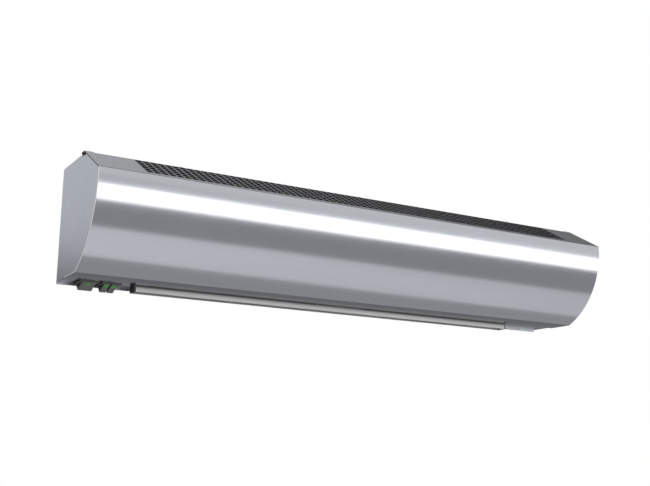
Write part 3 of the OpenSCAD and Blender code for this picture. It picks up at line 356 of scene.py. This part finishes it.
# Tones by direction: material, axis, share of the normal along it at the start and end, then colour and roughness
for look, *change in (
    # Painted highlight: the cover's cut ends and their rounding turn pale
    ("cover_steel", (1.0, 0.0, 0.0), 0.3, 0.7, (0.92, 0.93, 0.95), 0.4),
    # Painted shade: the inner sides of the grille's holes turn dark
    ("grille_steel", SLOPE_NORMAL, 0.4, 0.2, SHADOW_TINT, 0.6),
    # Painted shade: the sides of the rockers and bezels turn dark
    ("rocker_plastic", (1.0, 0.0, 0.0), 0.4, 0.8, (0.02, 0.02, 0.021), 0.5),
    ("bezel_plastic", (1.0, 0.0, 0.0), 0.4, 0.8, SHADOW_TINT, 0.5),
):
    facing(MATERIALS[look], *change)

# Nodes that show another material than the one their slot is named after
OTHER_LOOKS = {
    "top_panel": "top_steel",
    "bottom_panel": "base_steel",
    "outlet_rear_bar": "rear_bar_steel",
    "wall_plate": "wall_steel",
    # Painted shade: the guides and side plates inside the casing take the near-black steel
    "rear_guide": "inner_steel_painted_shade",
    "vortex_tongue": "inner_steel_painted_shade",
    "side_plate_left": "inner_steel_painted_shade",
    "side_plate_right": "inner_steel_painted_shade",
}
slots = {s["node"]: s["material_slot"] for s in frame["record"]["subparts"]}
for name, obj in frame["nodes"].items():
    obj.data.materials.clear()
    obj.data.materials.append(MATERIALS[OTHER_LOOKS.get(name, slots[name])])


# ---------------------------------------------------------------- detailed pieces


def soften(obj, width, segments=2):
    """Rounds an object's sharp edges a little, as pressing and moulding do."""
    bevel = obj.modifiers.new("edges", "BEVEL")
    bevel.width = width
    bevel.segments = segments
    bevel.limit_method = "ANGLE"
    bevel.angle_limit = math.radians(BEVEL_ANGLE)


def finish_mesh(name, bm, slot, body, replaced=()):
    mesh = bpy.data.meshes.new(name)
    bmesh.ops.recalc_face_normals(bm, faces=bm.faces)
    bm.to_mesh(mesh)
    bm.free()
    obj = add_object(name, mesh)
    mesh.materials.append(MATERIALS[slot])
    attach(obj, body)
    if replaced:
        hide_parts(*replaced)
    return obj


def smooth_by_angle(obj):
    """Smooth faces, with an edge kept sharp where its two faces meet at more than the angle."""
    limit = math.cos(math.radians(SMOOTH_ANGLE))
    mesh = obj.data
    for poly in mesh.polygons:
        poly.use_smooth = True
    bm = bmesh.new()
    bm.from_mesh(mesh)
    for edge in bm.edges:
        if len(edge.link_faces) == 2:
            a, b = (f.normal for f in edge.link_faces)
            edge.smooth = a.dot(b) > limit
    bm.to_mesh(mesh)
    bm.free()


def cover_profile():
    """Closed outline of the cover's sheet, from shoulder to flap and back inside, and the outer points' count."""
    outer, inner = [], []
    for r, points, floor in ((FRONT_R, outer, UNDER_Z), (FRONT_R - SHEET, inner, UNDER_Z + SHEET)):
        top = math.asin((SHOULDER_Z - FRONT_Z) / r)
        low = math.asin((floor - FRONT_Z) / r)
        for i in range(COVER_STEPS + 1):
            a = top + (low - top) * i / COVER_STEPS
            points.append((FRONT_Y - r * math.cos(a), FRONT_Z + r * math.sin(a)))
        points.append((FLAP_Y, floor))
    return outer + inner[::-1], len(outer)


def make_cover():
    """The cover as one sheet, with a tab behind its flap that bridges the gap in front of the outlet."""
    profile, count = cover_profile()
    total = len(profile)
    xs = (-HALF_LEN, -TAB_HALF, TAB_HALF, HALF_LEN)
    tab_ends = (1, 2)
    bm = bmesh.new()
    rings = [[bm.verts.new((x, y, z)) for y, z in profile] for x in xs]
    for s in range(len(xs) - 1):
        for i in range(total):
            j = (i + 1) % total
            # The flap's rear edge stays open where the tab joins it
            if s == tab_ends[0] and i == count - 1:
                continue
            bm.faces.new((rings[s][i], rings[s + 1][i], rings[s + 1][j], rings[s][j]))
    # The sheet's two cut ends, one quad per step
    for ring in (rings[0], rings[-1]):
        for i in range(count - 1):
            bm.faces.new((ring[i], ring[i + 1], ring[total - 2 - i], ring[total - 1 - i]))
    low = [rings[s][count - 1] for s in tab_ends]
    high = [rings[s][count] for s in tab_ends]
    far_low = [bm.verts.new((v.co.x, TAB_Y, v.co.z)) for v in low]
    far_high = [bm.verts.new((v.co.x, TAB_Y, v.co.z)) for v in high]
    bm.faces.new((low[0], low[1], far_low[1], far_low[0]))
    bm.faces.new((high[0], high[1], far_high[1], far_high[0]))
    bm.faces.new((far_low[0], far_low[1], far_high[1], far_high[0]))
    for k in (0, 1):
        bm.faces.new((low[k], far_low[k], far_high[k], high[k]))
    obj = finish_mesh("cover_sheet", bm, "cover_steel", "casing", ("front_cover",))
    smooth_by_angle(obj)
    soften(obj, COVER_BEVEL_MM * MM, segments=COVER_BEVEL_SEGMENTS)


make_cover()
for name, width in EDGE_WIDTHS_MM.items():
    soften(frame["nodes"][name], width * MM)


# ---------------------------------------------------------------- camera


def make_camera():
    az, el, roll = (math.radians(a) for a in CAMERA_ANGLES)
    forward = Vector((math.sin(az) * math.cos(el), math.cos(az) * math.cos(el), math.sin(el)))
    level = Vector((math.cos(az), -math.sin(az), 0.0))
    upright = level.cross(forward)
    right = level * math.cos(roll) + upright * math.sin(roll)
    up = upright * math.cos(roll) - level * math.sin(roll)
    data = bpy.data.cameras.new("camera")
    data.sensor_fit = "HORIZONTAL"
    data.sensor_width = SENSOR_MM
    data.lens = CAMERA_FOCAL * SENSOR_MM
    data.clip_end = CAMERA_REACH
    cam = add_object("camera", data)
    turn = Matrix((right, up, -forward)).transposed().to_4x4()
    cam.matrix_world = Matrix.Translation(CAMERA_PLACE) @ turn
    bpy.context.scene.camera = cam


make_camera()


# ---------------------------------------------------------------- studio


def seen_directly(tree):
    """1 for camera, glossy and transmission rays, 0 for the light that falls on things."""
    rays = node(tree, "ShaderNodeLightPath")
    total = rays.outputs["Is Camera Ray"]
    for ray in ("Is Glossy Ray", "Is Transmission Ray"):
        add = node(tree, "ShaderNodeMath", operation="MAXIMUM")
        tree.links.new(total, add.inputs[0])
        tree.links.new(rays.outputs[ray], add.inputs[1])
        total = add.outputs[0]
    return total


def make_world():
    """A white background, and a weaker even light on the things in front of it."""
    bpy.context.scene.view_settings.view_transform = "Standard"
    world = bpy.data.worlds.new("studio")
    bpy.context.scene.world = world
    world.use_nodes = True
    tree = world.node_tree
    sky = tree.nodes["Background"]
    sky.inputs["Color"].default_value = WHITE
    sky.inputs["Strength"].default_value = SKY_STRENGTH
    seen = node(tree, "ShaderNodeBackground")
    seen.inputs["Color"].default_value = WHITE
    seen.inputs["Strength"].default_value = 1.0
    mix = node(tree, "ShaderNodeMixShader")
    tree.links.new(seen_directly(tree), mix.inputs["Fac"])
    tree.links.new(sky.outputs[0], mix.inputs[1])
    tree.links.new(seen.outputs[0], mix.inputs[2])
    tree.links.new(mix.outputs[0], tree.nodes["World Output"].inputs["Surface"])


def upright_card(left, right, y, bottom, top):
    return [(left, y, bottom), (right, y, bottom), (right, y, top), (left, y, top)]


def level_card(left, right, front, back, z):
    return [(left, front, z), (right, front, z), (right, back, z), (left, back, z)]


def turned_card(x, y, z, long, wide, turn):
    """Corners of a level card round a place, turned about the vertical by an angle in degrees."""
    spin = Matrix.Rotation(math.radians(turn), 3, "Z")
    corners = level_card(-long / 2.0, long / 2.0, -wide / 2.0, wide / 2.0, 0.0)
    return [tuple(Vector((x, y, z)) + spin @ Vector(corner)) for corner in corners]


def add_plane(name, corners, mat):
    mesh = bpy.data.meshes.new(name)
    mesh.from_pydata(corners, [], [(0, 1, 2, 3)])
    mesh.materials.append(mat)
    return add_object(name, mesh)


def make_floor():
    """A pale floor that looks a little brighter than the light on it makes it."""
    mat = surface("floor", even(0.7), roughness=(0.7, 0.8), grain=even(2.0), variation=0.01, bump=0.0)
    tree = mat.node_tree
    glow = node(tree, "ShaderNodeEmission")
    glow.inputs["Color"].default_value = WHITE
    lift = node(tree, "ShaderNodeMath", operation="MULTIPLY")
    lift.inputs[1].default_value = FLOOR_LIFT
    tree.links.new(seen_directly(tree), lift.inputs[0])
    tree.links.new(lift.outputs[0], glow.inputs["Strength"])
    both = node(tree, "ShaderNodeAddShader")
    tree.links.new(tree.nodes["Principled BSDF"].outputs[0], both.inputs[0])
    tree.links.new(glow.outputs[0], both.inputs[1])
    tree.links.new(both.outputs[0], tree.nodes["Material Output"].inputs["Surface"])
    floor = add_plane("floor", level_card(-FLOOR_HALF, FLOOR_HALF, -FLOOR_HALF, FLOOR_HALF, FLOOR_Z), mat)


def area_lamp(name, place, target, size_x, size_y, radiance):
    """A soft box: its brightness is given as radiance, so its size doesn't change how bright it looks."""
    data = bpy.data.lights.new(name, "AREA")
    data.shape = "RECTANGLE"
    data.size = size_x
    data.size_y = size_y
    data.energy = radiance * math.pi * size_x * size_y
    lamp = add_object(name, data)
    lamp.location = place
    lamp.rotation_mode = "QUATERNION"
    lamp.rotation_quaternion = (Vector(target) - Vector(place)).to_track_quat("-Z", "Y")
    lamp.visible_camera = False


def flag(name, corners, left, right):
    """A studio card that only shiny surfaces see, with a brightness that changes evenly from left to right."""
    mat = bpy.data.materials.new(name)
    mat.use_nodes = True
    tree = mat.node_tree
    tree.nodes.remove(tree.nodes["Principled BSDF"])
    glow = node(tree, "ShaderNodeEmission")
    xs = [corner[0] for corner in corners]
    across = map_range(tree, place_on_part(tree)["X"], (min(xs), max(xs)))
    tones = mixed(tree, across, *((tone, tone, tone * CARD_BLUE) for tone in (left, right)))
    tree.links.new(tones, glow.inputs["Color"])
    tree.links.new(glow.outputs[0], tree.nodes["Material Output"].inputs["Surface"])
    obj = add_plane(name, corners, mat)
    obj.visible_camera = False
    obj.visible_diffuse = False
    obj.visible_shadow = False
    obj.visible_transmission = False


make_world()
make_floor()

# Soft boxes: place, target, width and height in metres, radiance
area_lamp("strip", (1.9, -2.5, -0.285), (1.9, 0.0, -0.285), 3.8, 0.81, 2.2)
area_lamp("top_box", (0.0, -0.6, 2.2), (0.0, -0.1, 0.0), 2.4, 1.6, 0.6)

# Cards: corners in metres, brightness at the left and at the right edge
flag("low_card", turned_card(0.78, -0.48, -1.05, 2.8, 0.93, 5.4), 1.04, 0.78)
flag("flag_front", upright_card(-0.3, 2.6, -2.52, 0.11, 0.60), 0.76, 1.03)
flag("flag_top", upright_card(-0.2, 2.6, 1.2, 0.7, 2.6), 0.60, 0.06)
flag("flag_back", upright_card(-1.6, 3.6, 1.2, -1.7, 0.2), 0.24, 0.20)
flag("flag_floor", level_card(-2.0, 7.0, -6.0, 0.05, -1.74), 0.44, 0.42)
flag("flag_low", [(-0.6, 0.05, -1.6), (3.0, 0.05, -1.6), (3.6, 1.2, -1.6), (-1.0, 1.2, -1.6)], 0.48, 0.48)
